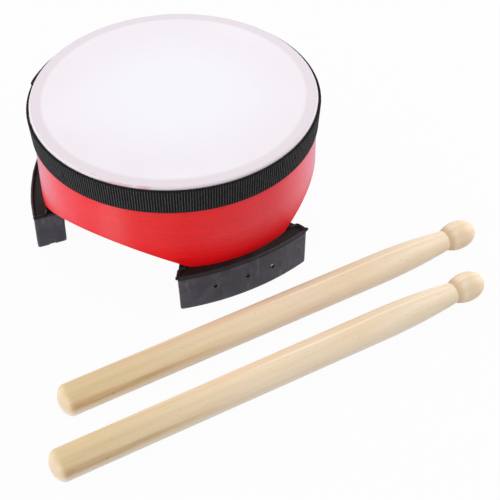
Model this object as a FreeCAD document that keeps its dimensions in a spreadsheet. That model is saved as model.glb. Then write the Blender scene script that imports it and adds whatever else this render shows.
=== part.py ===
import FreeCAD, Part
import math
import os
from types import SimpleNamespace

import Sketcher

# Floor drum with three rubber feet and two wooden beaters.
# Millimetres; +Z is up, z = 0 is the floor, and the origin is the middle of the set's footprint.

Vector = FreeCAD.Vector
UP = Vector(0, 0, 1)

FEET = ("front", "rear", "left")
FULL_TURN = 360
SAME_PLACE = 1e-6
FOOT_SPACING = FULL_TURN / len(FEET)
SMALL_ROUND_SIDES = 10

SIZES = (
    # the set on the floor, seen from above
    ("drum_x", -51.8, "drum axis, from the middle of the set"),
    ("drum_y", 74.1, "drum axis, from the middle of the set"),
    ("front_foot_turn", -62.0, "degrees from +X to the front foot"),
    ("beater_front_x", 17.1, "middle of the front beater"),
    ("beater_front_y", -99.4, "middle of the front beater"),
    ("beater_front_turn", 29.4, "degrees from +X to the beater's tip"),
    ("beater_rear_x", 17.4, "middle of the rear beater"),
    ("beater_rear_y", -47.6, "middle of the rear beater"),
    ("beater_rear_turn", 29.5, "degrees from +X to the beater's tip"),
    # bent plywood shell
    ("drum_height", 100.6, "floor to the skin's top face"),
    ("shell_radius", 98.3, "outer face of the wall"),
    ("shell_wall", 7.0, "plywood thickness"),
    ("rim_bevel", 1.6, "bevel that the skin bends over"),
    ("arch_rise", 17.7, "crown of an arch above the feet's top faces"),
    ("leg_width", 76.2, "leg at the foot's top face, round the outer face"),
    ("leg_depth", 20.0, "how far a leg goes down into its foot"),
    # skin
    ("skin_thickness", 0.6, "head and skirt"),
    ("skirt_drop", 11.8, "skirt below the rim"),
    ("glue_gap", 0.1, "glue line between the wall and what is wrapped round it"),
    # webbing round the rim
    ("webbing_width", 19.8, "height of the band"),
    ("webbing_thickness", 1.4, "nylon webbing"),
    ("webbing_drop", 1.7, "top edge below the skin's top face"),
    ("webbing_seam", 0.8, "slit where the two ends meet"),
    ("webbing_seam_turn", 232.7, "degrees from the front foot to the seam"),
    # staples that hold the skirt
    ("staple_crown", 10.0, "width over the legs"),
    ("staple_leg", 6.0, "length over the crown"),
    ("staple_wire", 0.5, "wire thickness"),
    ("staple_wire_width", 1.1, "wire height"),
    ("staple_drop", 3.6, "below the skin's top face"),
    ("staple_count", 24, "staples round the rim"),
    # rubber feet, each moulded as a block with a curved slot
    ("foot_height", 29.3, "floor to the top face"),
    ("foot_wall", 6.6, "rubber outside the shell, at the foot's middle"),
    ("foot_arc_radius", 177.0, "outer face, flatter than the shell"),
    ("foot_depth", 21.0, "outer face to inner face"),
    ("foot_half_angle", 27.3, "degrees from the foot's middle to its end, about the drum axis"),
    ("foot_end_draft", 2.0, "degrees that the end faces lean in towards the base"),
    ("foot_end_bevel", 1.2, "bevel of the upright corners"),
    ("foot_base_bevel", 1.5, "bevel round the base"),
    ("slot_play", 0.2, "slot wall to leg, each side"),
    ("slot_end_gap", 3.0, "slot past the leg's outer corner, each end"),
    ("tread_width", 4.4, "groove along the base"),
    ("tread_depth", 1.6, "groove along the base"),
    ("lip_width", 2.2, "bead along the outer top edge"),
    ("lip_depth", 2.0, "height of the bead"),
    ("lip_bevel", 0.6, "bead's outer top corner"),
    ("lip_overhang", 0.7, "bead past the outer face"),
    ("lip_rise", 0.3, "bead above the top face"),
    ("nub_radius", 1.4, "knob at each end of the bead"),
    ("nub_rise", 0.6, "knob above the top face"),
    ("nub_depth", 2.6, "height of a knob"),
    # screws that hold a foot on its leg
    ("screw_left_place", -24.0, "across the foot, from its middle"),
    ("screw_middle_place", 0.0, "across the foot, from its middle"),
    ("screw_right_place", 20.0, "across the foot, from its middle"),
    ("screw_left_drop", 13.3, "below the foot's top face"),
    ("screw_middle_drop", 13.8, "below the foot's top face"),
    ("screw_right_drop", 15.0, "below the foot's top face"),
    ("screw_head_radius", 1.6, "flat head"),
    ("screw_head_height", 1.1, "flat head"),
    ("screw_shank_radius", 0.95, "shank"),
    ("screw_length", 11.0, "under the head, ends inside the leg"),
    ("screw_recess", 1.0, "top of the head below the rubber's face"),
    ("screw_play", 0.1, "hole in the rubber, round the screw"),
    # turned wooden beaters
    ("beater_length", 320.0, "butt to tip"),
    ("beater_radius", 10.7, "shaft"),
    ("butt_dome", 7.0, "length of the rounded butt"),
    ("butt_edge_round", 5.0, "rounding of the butt's edge"),
    ("taper_length", 57.0, "rounded taper from the shaft to the neck"),
    ("neck_radius", 7.1, "narrowest place, behind the bead"),
    ("bead_radius", 10.0, "striking bead"),
    ("bead_back", 10.5, "neck to the bead's widest place"),
    ("bead_front", 14.0, "the bead's widest place to the tip"),
    ("tip_round", 6.5, "radius of the bead's end"),
)


class Size:
    """A number, with the expression that gives it from the sheet."""

    def __init__(self, number, text):
        self.number = float(number)
        self.text = text

    def join(self, sign, other, number):
        return Size(number, f"({self.text} {sign} {other.text})")

    def __add__(self, other):
        return self.join("+", sized(other), self.number + sized(other).number)

    def __sub__(self, other):
        return self.join("-", sized(other), self.number - sized(other).number)

    def __mul__(self, other):
        return self.join("*", sized(other), self.number * sized(other).number)

    def __truediv__(self, other):
        return self.join("/", sized(other), self.number / sized(other).number)

    def __neg__(self):
        return Size(-self.number, f"(-1 * {self.text})")


def sized(value):
    """The value as a Size; a plain number stays itself in the expression."""
    return value if isinstance(value, Size) else Size(value, f"{value:.9g}")


def sine(angle):
    return Size(math.sin(math.radians(angle.number)), f"sin({angle.text})")


def cosine(angle):
    return Size(math.cos(math.radians(angle.number)), f"cos({angle.text})")


def arc_sine(value):
    """Angle in degrees."""
    return Size(math.degrees(math.asin(value.number)), f"asin({value.text}) / 1deg")


def root(value):
    return Size(math.sqrt(value.number), f"sqrt({value.text})")


ZERO = Size(0, "0")
DEGREES_PER_RADIAN = Size(math.degrees(1), "(180 / pi)")

doc = FreeCAD.newDocument("FloorDrum")
sheet = doc.addObject("Spreadsheet::Sheet", "Sizes")
for row, (alias, value, note) in enumerate(SIZES, start=1):
    sheet.set(f"A{row}", alias)
    sheet.set(f"B{row}", f"{value:g}")
    sheet.set(f"C{row}", note)
    sheet.setAlias(f"B{row}", alias)
doc.recompute()
size = SimpleNamespace(**{alias: Size(value, f"Sizes.{alias}") for alias, value, _ in SIZES})

cuts = []


# Sketches and features


def datum(body, role):
    return next(item for item in body.Origin.OriginFeatures if item.Role == role)


def new_body(label, turn=None, x=None, y=None, lift=None):
    """A body that stands at x, y and is turned about the vertical."""
    body = doc.addObject("PartDesign::Body", label)
    body.Label = label
    body.Placement = FreeCAD.Placement(Vector(), FreeCAD.Rotation(UP, 0))
    for path, value in (("Base.x", x), ("Base.y", y), ("Base.z", lift), ("Rotation.Angle", turn)):
        if value is not None:
            body.setExpression(f"Placement.{path}", value.text)
    return body


def new_sketch(body, name, role, offset=None):
    """A sketch on an origin plane of its body, or at an offset along the plane's normal."""
    sketch = body.newObject("Sketcher::SketchObject", f"{body.Name}_{name}")
    sketch.AttachmentSupport = [(datum(body, role), "")]
    sketch.MapMode = "FlatFace"
    if offset is not None:
        sketch.setExpression("AttachmentOffset.Base.z", offset.text)
    return sketch


def hold(sketch, geometry, point, axis, value):
    """Dimension one coordinate of a point; a zero puts the point on the other axis."""
    if value is ZERO:
        line = -2 if axis == "X" else -1
        sketch.addConstraint(Sketcher.Constraint("PointOnObject", geometry, point, line))
        return
    constraint = Sketcher.Constraint(f"Distance{axis}", geometry, point, value.number)
    sketch.setExpression(f"Constraints[{sketch.addConstraint(constraint)}]", value.text)


def hold_point(sketch, geometry, point, place):
    hold(sketch, geometry, point, "X", place[0])
    hold(sketch, geometry, point, "Y", place[1])


def spot(place):
    return Vector(place[0].number, place[1].number, 0)


def hold_radius(sketch, geometry, radius):
    constraint = Sketcher.Constraint("Radius", geometry, radius.number)
    sketch.setExpression(f"Constraints[{sketch.addConstraint(constraint)}]", radius.text)


def outline(sketch, corners, arcs):
    """Closed outline; arcs maps a side's number to its centre, radius and sense."""
    ends = []
    for number, start in enumerate(corners):
        stop = corners[(number + 1) % len(corners)]
        if number not in arcs:
            line = sketch.addGeometry(Part.LineSegment(spot(start), spot(stop)))
            ends.append((line, 1, 2))
            continue
        centre, radius, sense = arcs[number]
        first, last = (start, stop) if sense == "left" else (stop, start)
        angles = [
            math.atan2(end[1].number - centre[1].number, end[0].number - centre[0].number)
            for end in (first, last)
        ]
        circle = Part.Circle(spot(centre), UP, radius.number)
        arc = sketch.addGeometry(Part.ArcOfCircle(circle, *angles))
        ends.append((arc, 1, 2) if sense == "left" else (arc, 2, 1))
        hold_radius(sketch, arc, radius)
    for number, (side, begin, _) in enumerate(ends):
        before, _, finish = ends[number - 1]
        sketch.addConstraint(Sketcher.Constraint("Coincident", before, finish, side, begin))
        hold_point(sketch, side, begin, corners[number])


def small_round(sketch, centre, radius):
    """A small circle, drawn with flat sides because it repeats so often."""
    corners = []
    for number in range(SMALL_ROUND_SIDES):
        turn = sized((number + 1 / 2) * FULL_TURN / SMALL_ROUND_SIDES)
        across, along = radius * cosine(turn), radius * sine(turn)
        corners.append((centre[0] + across, centre[1] + along))
    outline(sketch, corners, {})


def axis_line(sketch, start, stop):
    """Construction line that a revolution turns about."""
    line = sketch.addGeometry(Part.LineSegment(spot(start), spot(stop)), True)
    hold_point(sketch, line, 1, start)
    hold_point(sketch, line, 2, stop)
    return (sketch, ["Axis0"])


def feature(body, kind, name, **values):
    """A feature of the body; a Size is bound to the sheet, anything else is set."""
    item = body.newObject(f"PartDesign::{kind}", f"{body.Name}_{name}")
    for key, value in values.items():
        if isinstance(value, Size):
            item.setExpression(key, value.text)
        else:
            setattr(item, key, value)
    body.Tip = item
    return item


def pad(body, name, sketch, length, **values):
    return feature(body, "Pad", name, Profile=(sketch, [""]), Length=length, **values)


def pocket(body, name, sketch, outward, length=None):
    """Cut along the sketch's normal when outward, else against it; with no length, right through."""
    before = body.Tip
    span = {"Type": "ThroughAll"} if length is None else {"Length": length}
    item = feature(body, "Pocket", name, Profile=(sketch, [""]), Reversed=outward, **span)
    cuts.append((before, item))
    return item


def revolve(body, name, sketch, axis, angle=None):
    """Turn the sketch all the way round, or by an angle that its plane halves."""
    part_turn = {} if angle is None else {"Angle": angle, "Midplane": True}
    values = {"Profile": (sketch, [""]), "ReferenceAxis": axis, **part_turn}
    return feature(body, "Revolution", name, **values)


def pattern(body, name, originals, count):
    """Copies of the features, evenly round the body's own vertical axis."""
    axis = (datum(body, "Z_Axis"), [""])
    values = {"Originals": originals, "Axis": axis, "Angle": FULL_TURN, "Occurrences": count}
    return feature(body, "PolarPattern", name, **values)


def ease_edges(body, kind, name, wanted, **values):
    """Fillet or chamfer those edges of the body's last feature that pass the test."""
    doc.recompute()
    base = body.Tip
    names = [f"Edge{n}" for n, edge in enumerate(base.Shape.Edges, start=1) if wanted(edge)]
    return feature(body, kind, name, Base=(base, names), **values)


# Places that several pieces share

skin_top = size.drum_height
shell_top = skin_top - size.skin_thickness
webbing_top = skin_top - size.webbing_drop
leg_end = size.foot_height - size.leg_depth
shell_inner = size.shell_radius - size.shell_wall
skirt_inner = size.shell_radius + size.glue_gap
skirt_outer = skirt_inner + size.skin_thickness
skirt_end = shell_top - size.skirt_drop
leg_half_angle = size.leg_width / 2 / size.shell_radius * DEGREES_PER_RADIAN
foot_outer = size.shell_radius + size.foot_wall
foot_centre = foot_outer - size.foot_arc_radius
SCREWS = (
    (size.screw_left_place, size.foot_height - size.screw_left_drop),
    (size.screw_middle_place, size.foot_height - size.screw_middle_drop),
    (size.screw_right_place, size.foot_height - size.screw_right_drop),
)


def screw_seat(place):
    """Plane under a screw's head, measured out from the drum axis."""
    face = foot_centre + root(size.foot_arc_radius * size.foot_arc_radius - place * place)
    return face - size.screw_recess - size.screw_head_height


def drum_body(label, turn=None):
    """A body on the drum's axis whose +X points at the front foot, or at the given turn."""
    return new_body(label, turn or size.front_foot_turn, size.drum_x, size.drum_y)


# Shell: a plywood ring bent round, its lower edge sawn into three arches that leave three legs;
# the screws cut their own holes in it


def make_shell():
    body = drum_body("shell")
    outer = size.shell_radius
    section = new_sketch(body, "section", "XZ_Plane")
    corners = (
        (shell_inner, leg_end),
        (outer, leg_end),
        (outer, shell_top - size.rim_bevel),
        (outer - size.rim_bevel, shell_top),
        (shell_inner, shell_top),
    )
    outline(section, corners, {})
    revolve(body, "ring", section, (section, ["V_Axis"]))

    half_arch = outer * sine(sized(FOOT_SPACING / 2) - leg_half_angle)
    rise = size.arch_rise
    arch_radius = (half_arch * half_arch + rise * rise) / (rise * 2)
    arch = new_sketch(body, "arch", "YZ_Plane")
    corners = (
        (-half_arch, size.foot_height),
        (half_arch, size.foot_height),
        (half_arch, ZERO),
        (-half_arch, ZERO),
    )
    centre = (ZERO, size.foot_height + rise - arch_radius)
    outline(arch, corners, {0: (centre, arch_radius, "right")})
    arch_cut = pocket(body, "arch_cut", arch, outward=False)
    pattern(body, "arches", [arch_cut], len(FEET))
    return body


# Drumhead: one skin over the rim, with a skirt glued and stapled to the wall


def make_drumhead():
    body = drum_body("drumhead")
    section = new_sketch(body, "section", "XZ_Plane")
    bend_radius = skirt_inner - size.rim_bevel
    bend_level = shell_top - size.rim_bevel
    corners = (
        (ZERO, shell_top),
        (bend_radius, shell_top),
        (skirt_inner, bend_level),
        (skirt_inner, skirt_end),
        (skirt_outer, skirt_end),
        (skirt_outer, bend_level),
        (bend_radius, skin_top),
        (ZERO, skin_top),
    )
    outline(section, corners, {})
    revolve(body, "skin", section, (section, ["V_Axis"]))
    return body


# Webbing: a band glued round the rim, leaning out over the skirt, its ends meeting at the left


def make_webbing():
    turn = size.front_foot_turn + size.webbing_seam_turn + FULL_TURN / 2
    body = drum_body("rim_webbing", turn)
    bottom = webbing_top - size.webbing_width
    inner = size.shell_radius + size.glue_gap
    over_skirt = size.skin_thickness + size.glue_gap
    lean = over_skirt * size.webbing_width / (skirt_end - bottom)
    section = new_sketch(body, "section", "XZ_Plane")
    corners = (
        (inner, bottom),
        (inner + size.webbing_thickness, bottom),
        (inner + size.webbing_thickness + lean, webbing_top),
        (inner + lean, webbing_top),
    )
    outline(section, corners, {})
    seam_angle = size.webbing_seam / size.shell_radius * DEGREES_PER_RADIAN
    revolve(body, "band", section, (section, ["V_Axis"]), sized(FULL_TURN) - seam_angle)
    return body


# Staples: driven through the skirt into the wall, under the webbing


def make_staples():
    body = drum_body("head_staples")
    seat = skirt_outer + size.glue_gap
    crown = seat + size.staple_wire
    point = crown - size.staple_leg
    half = size.staple_crown / 2
    inside = half - size.staple_wire
    loop = new_sketch(body, "loop", "XY_Plane", skin_top - size.staple_drop)
    corners = (
        (point, -half),
        (crown, -half),
        (crown, half),
        (point, half),
        (point, inside),
        (seat, inside),
        (seat, -inside),
        (point, -inside),
    )
    outline(loop, corners, {})
    staple = pad(body, "wire", loop, size.staple_wire_width, Midplane=True)
    pattern(body, "row", [staple], size.staple_count)
    return body


# Feet: moulded rubber blocks, flatter than the shell, each with a curved slot for its leg


def arc_corner(radius, half_angle):
    """Where a circle about the foot's own centre meets a plane through the drum axis."""
    across = foot_centre * sine(half_angle)
    reach = foot_centre * cosine(half_angle) + root(radius * radius - across * across)
    return (reach * cosine(half_angle), reach * sine(half_angle))


def sector(sketch, centre, inner, outer, near, far):
    """Curved strip between two arcs about one centre; near and far are its corners at +Y."""
    corners = (
        (near[0], -near[1]),
        (far[0], -far[1]),
        far,
        near,
    )
    outline(sketch, corners, {1: (centre, outer, "left"), 3: (centre, inner, "right")})


def polar(radius, angle, centre=ZERO):
    return (centre + radius * cosine(angle), radius * sine(angle))


def turned(centre, radius, start, stop, bands):
    """Corners of straight bands along an arc, past its start; angles count from +Y towards +X."""
    step = (stop - start) / bands
    angles = [start + step * number for number in range(1, bands + 1)]
    return [(centre[0] + radius * sine(angle), centre[1] + radius * cosine(angle)) for angle in angles]


def make_foot(label, turn):
    body = drum_body(label, turn)
    own_centre = (foot_centre, ZERO)
    outer_arc = size.foot_arc_radius
    inner_arc = outer_arc - size.foot_depth
    end = size.foot_half_angle
    block = new_sketch(body, "block", "XY_Plane")
    corner = arc_corner(outer_arc, end)
    sector(block, own_centre, inner_arc, outer_arc, arc_corner(inner_arc, end), corner)
    pad(body, "rubber", block, size.foot_height)
    lean_ends(body, size.foot_end_draft)
    ease_edges(body, "Chamfer", "ends", upright, Size=size.foot_end_bevel)
    ease_edges(body, "Chamfer", "base", on_the_floor, Size=size.foot_base_bevel)

    lip_outer = foot_outer + size.lip_overhang
    lip_inner = lip_outer - size.lip_width
    lip_top = size.foot_height + size.lip_rise
    lip_bottom = lip_top - size.lip_depth
    lip_angle = arc_sine(corner[1] / outer_arc)
    lip = new_sketch(body, "lip", "XZ_Plane")
    corners = (
        (lip_inner, lip_bottom),
        (lip_outer, lip_bottom),
        (lip_outer, lip_top - size.lip_bevel),
        (lip_outer - size.lip_bevel, lip_top),
        (lip_inner, lip_top),
    )
    outline(lip, corners, {})
    axis = axis_line(lip, own_centre, (foot_centre, size.foot_height))
    revolve(body, "bead", lip, axis, lip_angle * 2)
    nub = polar((lip_inner + lip_outer) / 2 - foot_centre, lip_angle, foot_centre)
    nubs = new_sketch(body, "nubs", "XY_Plane", size.foot_height + size.nub_rise)
    small_round(nubs, nub, size.nub_radius)
    small_round(nubs, (nub[0], -nub[1]), size.nub_radius)
    pad(body, "knobs", nubs, size.nub_depth, Reversed=True)

    slot = new_sketch(body, "slot", "XY_Plane", size.foot_height)
    slot_inner = shell_inner - size.slot_play
    slot_outer = size.shell_radius + size.slot_play
    slot_angle = leg_half_angle + size.slot_end_gap / size.shell_radius * DEGREES_PER_RADIAN
    near, far = polar(slot_inner, slot_angle), polar(slot_outer, slot_angle)
    sector(slot, (ZERO, ZERO), slot_inner, slot_outer, near, far)
    pocket(body, "slot_cut", slot, outward=False, length=size.leg_depth)

    tread = new_sketch(body, "tread", "XY_Plane")
    middle = outer_arc - size.foot_depth / 2
    tread_inner = middle - size.tread_width / 2
    tread_outer = middle + size.tread_width / 2
    near, far = polar(tread_inner, end, foot_centre), polar(tread_outer, end, foot_centre)
    sector(tread, own_centre, tread_inner, tread_outer, near, far)
    pocket(body, "tread_cut", tread, outward=True, length=size.tread_depth)

    bores = new_sketch(body, "bores", "YZ_Plane", (shell_inner + size.shell_radius) / 2)
    for spindle in SCREWS:
        small_round(bores, spindle, size.screw_shank_radius + size.screw_play)
    pocket(body, "bore_cut", bores, outward=True)
    for number, spindle in enumerate(SCREWS, start=1):
        recess = new_sketch(body, f"recess_{number}", "YZ_Plane", screw_seat(spindle[0]))
        small_round(recess, spindle, size.screw_head_radius + size.screw_play)
        pocket(body, f"recess_{number}_cut", recess, outward=True)
    return body


def lean_ends(body, angle):
    """Turn the block's two end faces about their top edges, in towards the base."""
    doc.recompute()
    block = body.Tip
    numbered = [(f"Face{n}", face) for n, face in enumerate(block.Shape.Faces, start=1)]
    flats = [(name, face) for name, face in numbered if isinstance(face.Surface, Part.Plane)]
    ends = [name for name, face in flats if abs(face.normalAt(0, 0).z) < SAME_PLACE]
    top, _ = max(flats, key=lambda flat: flat[1].CenterOfMass.z)
    values = {"Base": (block, ends), "NeutralPlane": (block, [top]), "Reversed": True}
    feature(body, "Draft", "end_draft", Angle=angle, **values)


def upright(edge):
    """The block's corner edges, which run up from the base."""
    levels = [vertex.Z for vertex in edge.Vertexes]
    return max(levels) - min(levels) > SAME_PLACE


def on_the_floor(edge):
    return max(vertex.Z for vertex in edge.Vertexes) < SAME_PLACE


# Screws: flat heads sunk in the rubber, shanks in the leg


def make_screws(label, turn):
    body = drum_body(label, turn)
    for number, spindle in enumerate(SCREWS, start=1):
        seat = screw_seat(spindle[0])
        head = new_sketch(body, f"head_{number}", "YZ_Plane", seat)
        small_round(head, spindle, size.screw_head_radius)
        pad(body, f"cap_{number}", head, size.screw_head_height)
        shank = new_sketch(body, f"shank_{number}", "YZ_Plane", seat)
        small_round(shank, spindle, size.screw_shank_radius)
        pad(body, f"stem_{number}", shank, size.screw_length, Reversed=True)
    return body


# Beaters: turned in one piece, with a domed butt, a straight shaft, a rounded taper and a bead


def make_beater(label, x, y, turn):
    half = size.beater_length / 2
    butt_x = x - half * cosine(turn)
    butt_y = y - half * sine(turn)
    body = new_body(label, turn, butt_x, butt_y, size.beater_radius)
    radius, edge, dome = size.beater_radius, size.butt_edge_round, size.butt_dome
    edge_centre = (dome, radius - edge)
    nose = (dome * dome + edge_centre[1] * edge_centre[1] - edge * edge) / ((dome - edge) * 2)
    nose_turn = -arc_sine((nose - dome) / (nose - edge))

    bead_middle = size.beater_length - size.bead_front
    neck = bead_middle - size.bead_back
    shaft_end = neck - size.taper_length
    drop = radius - size.neck_radius
    taper = (size.taper_length * size.taper_length + drop * drop) / (drop * 2)
    bead = size.bead_radius
    swell = bead - size.neck_radius
    back = (size.bead_back * size.bead_back + swell * swell) / (swell * 2)
    back_turn = arc_sine(size.bead_back / back)

    tip = size.tip_round
    reach = size.bead_front - tip
    front = (reach * reach + bead * bead - tip * tip) / ((bead - tip) * 2)
    tip_turn = arc_sine(reach / (front - tip))
    right_angle = sized(FULL_TURN / 4)

    line = [(ZERO, ZERO)]
    line += turned((nose, ZERO), nose, -right_angle, nose_turn, bands=1)
    line += turned(edge_centre, edge, nose_turn, ZERO, bands=2)
    taper_side = len(line)
    line += [(shaft_end, radius), (neck, size.neck_radius)]
    line += turned((bead_middle, bead - back), back, -back_turn, ZERO, bands=2)
    line += turned((bead_middle, bead - front), front, ZERO, tip_turn, bands=2)
    line += turned((size.beater_length - tip, ZERO), tip, tip_turn, right_angle, bands=2)
    line[-1] = (size.beater_length, ZERO)
    profile = new_sketch(body, "profile", "XY_Plane")
    outline(profile, line, {taper_side: ((shaft_end, radius - taper), taper, "right")})
    revolve(body, "turning", profile, (profile, ["H_Axis"]))
    return body


nodes = [make_shell(), make_drumhead(), make_webbing(), make_staples()]
for number, side in enumerate(FEET):
    foot_turn = size.front_foot_turn + number * FOOT_SPACING
    nodes.append(make_foot(f"foot_{side}", foot_turn))
    nodes.append(make_screws(f"foot_screws_{side}", foot_turn))
nodes.append(
    make_beater("beater_front", size.beater_front_x, size.beater_front_y, size.beater_front_turn)
)
nodes.append(
    make_beater("beater_rear", size.beater_rear_x, size.beater_rear_y, size.beater_rear_turn)
)

doc.recompute()
for item in doc.Objects:
    if {"Invalid", "Error"} & set(item.State):
        raise RuntimeError(f"{item.Label} did not build: {item.State}")
for before, cut in cuts:
    if cut.Shape.Volume >= before.Shape.Volume:
        raise RuntimeError(f"{cut.Label} removes nothing")
for node in nodes:
    if node.Shape.isNull() or not node.Shape.isValid():
        raise RuntimeError(f"{node.Label} has no valid shape")

os.makedirs("parts", exist_ok=True)
for node in nodes:
    node.Shape.exportStep(f"parts/{node.Label}.step")
    print(node.Label, len(node.Shape.Solids), "solids", round(node.Shape.Volume), "mm3")
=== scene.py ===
import math

import bmesh
import bpy
from mathutils import Matrix, Vector, noise


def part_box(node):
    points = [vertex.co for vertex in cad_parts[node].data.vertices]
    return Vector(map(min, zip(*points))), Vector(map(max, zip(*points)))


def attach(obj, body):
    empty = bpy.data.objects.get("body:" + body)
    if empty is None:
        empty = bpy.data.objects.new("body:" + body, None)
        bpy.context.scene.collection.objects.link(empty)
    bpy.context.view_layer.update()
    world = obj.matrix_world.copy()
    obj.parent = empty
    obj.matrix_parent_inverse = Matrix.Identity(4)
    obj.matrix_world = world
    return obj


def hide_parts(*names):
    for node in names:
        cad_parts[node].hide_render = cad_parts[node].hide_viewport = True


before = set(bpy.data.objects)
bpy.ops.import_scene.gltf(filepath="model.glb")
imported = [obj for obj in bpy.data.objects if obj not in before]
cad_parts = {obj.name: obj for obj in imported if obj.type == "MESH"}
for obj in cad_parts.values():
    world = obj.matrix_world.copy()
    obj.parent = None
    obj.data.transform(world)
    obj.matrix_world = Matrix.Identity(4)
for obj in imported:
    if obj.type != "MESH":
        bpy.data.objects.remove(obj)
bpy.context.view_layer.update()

MM = 0.001

# Lengths are millimetres and angles are degrees. They become metres and radians where
# Blender takes them. The materials' own lengths are metres and their angles radians.
lowest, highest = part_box("shell")
AXIS = ((lowest.x + highest.x) / 2 / MM, (lowest.y + highest.y) / 2 / MM)
SHELL_OUT, SHELL_IN = 98.3, 91.3
SHELL_TOP, LEG_END = 100.0, 9.3
SKIN_TOP = 100.6
BAND_LOW, BAND_HIGH = 79.1, 98.9
FEET = (("foot_front", -62), ("foot_rear", 58), ("foot_left", 178))
ARCHES = (-122, -2, 118)
SEAM = 170.7


def unit(angle):
    return math.cos(math.radians(angle)), math.sin(math.radians(angle))


def along(x, table):
    """The value at x on a smooth line through the table's points."""
    for (x0, y0), (x1, y1) in zip(table, table[1:]):
        if x <= x1:
            t = max(0.0, (x - x0) / (x1 - x0))
            t = t * t * (3 - 2 * t)
            return y0 + (y1 - y0) * t
    return table[-1][1]


def bulge(top, radius, off):
    """The height of an arc of that radius at some way off its top."""
    return top - radius + math.sqrt(radius ** 2 - off ** 2)


def smooth(mesh, sharp):
    """Shades the mesh smooth and keeps edges crisp that are sharper than the angle."""
    mesh.polygons.foreach_set("use_smooth", [True] * len(mesh.polygons))
    if sharp:
        mesh.set_sharp_from_angle(angle=math.radians(sharp))


def make(name, points, faces, place=(0, 0, 0), turn=0.0, sharp=35):
    """An object from points in millimetres, with its normals outwards."""
    mesh = bpy.data.meshes.new(name)
    mesh.from_pydata([Vector(p) * MM for p in points], [], faces)
    work = bmesh.new()
    work.from_mesh(mesh)
    bmesh.ops.remove_doubles(work, verts=work.verts, dist=1e-7)
    bmesh.ops.recalc_face_normals(work, faces=work.faces)
    work.to_mesh(mesh)
    work.free()
    smooth(mesh, sharp)
    obj = bpy.data.objects.new(name, mesh)
    bpy.context.scene.collection.objects.link(obj)
    obj.location = Vector(place) * MM
    obj.rotation_euler.z = math.radians(turn)
    bpy.context.view_layer.update()
    return obj


def settle(obj, body, slot, material, *nodes):
    """The piece takes its material, rides on its body and stands for its CAD nodes."""
    obj.data.materials.clear()
    obj.data.materials.append(material)
    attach(obj, body)
    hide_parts(*nodes)


def grid(columns, rows, closed=False, first=0, rings=False):
    """Quads over columns of points, where each column holds that many rows.

    Closed joins the last column to the first, and rings each column's last row to its first."""
    quads = []
    for i in range(columns if closed else columns - 1):
        a, b = first + i * rows, first + (i + 1) % columns * rows
        for j in range(rows if rings else rows - 1):
            k = (j + 1) % rows
            quads.append((a + j, b + j, b + k, a + k))
    return quads


def ends(rings, sides, first=0):
    """The two faces that close a row of rings."""
    last = first + (rings - 1) * sides
    return [tuple(range(first, first + sides)), tuple(range(last, last + sides))]


def tube(rings, sides, first=0):
    """Quads over a row of rings of that many points each, closed at both ends."""
    faces = []
    for k in range(rings - 1):
        a, b = first + k * sides, first + (k + 1) * sides
        faces += [(a + j, a + (j + 1) % sides, b + (j + 1) % sides, b + j) for j in range(sides)]
    return faces + ends(rings, sides, first)


def lathe(profile, steps, axis="z"):
    """Points and faces of a profile of (along the axis, radius) turned about the axis.

    Ends of no radius close to a point."""
    points, faces, rings = [], [], []
    for height, radius in profile:
        if radius < 1e-6:
            rings.append([len(points)])
            points.append((0, 0, height) if axis == "z" else (height, 0, 0))
            continue
        rings.append(list(range(len(points), len(points) + steps)))
        for i in range(steps):
            c, s = unit(360 * i / steps)
            if axis == "z":
                points.append((radius * c, radius * s, height))
            else:
                points.append((height, radius * c, radius * s))
    for a, b in zip(rings, rings[1:]):
        for i in range(steps):
            j = (i + 1) % steps
            quad = (a[i % len(a)], a[j % len(a)], b[j % len(b)], b[i % len(b)])
            faces.append(tuple(dict.fromkeys(quad)))
    return points, faces


def arc(centre, radius, start, end, count):
    """Points of an arc in the plane, from one angle to another."""
    found = []
    for i in range(count + 1):
        c, s = unit(start + (end - start) * i / count)
        found.append((centre[0] + radius * c, centre[1] + radius * s))
    return found


# Shaders

def srgb(r, g, b):
    """A colour as seen on screen, 0 to 255, as Blender's linear colour."""
    def one(v):
        v /= 255
        return v / 12.92 if v <= 0.04045 else ((v + 0.055) / 1.055) ** 2.4
    return one(r), one(g), one(b), 1.0


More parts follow.
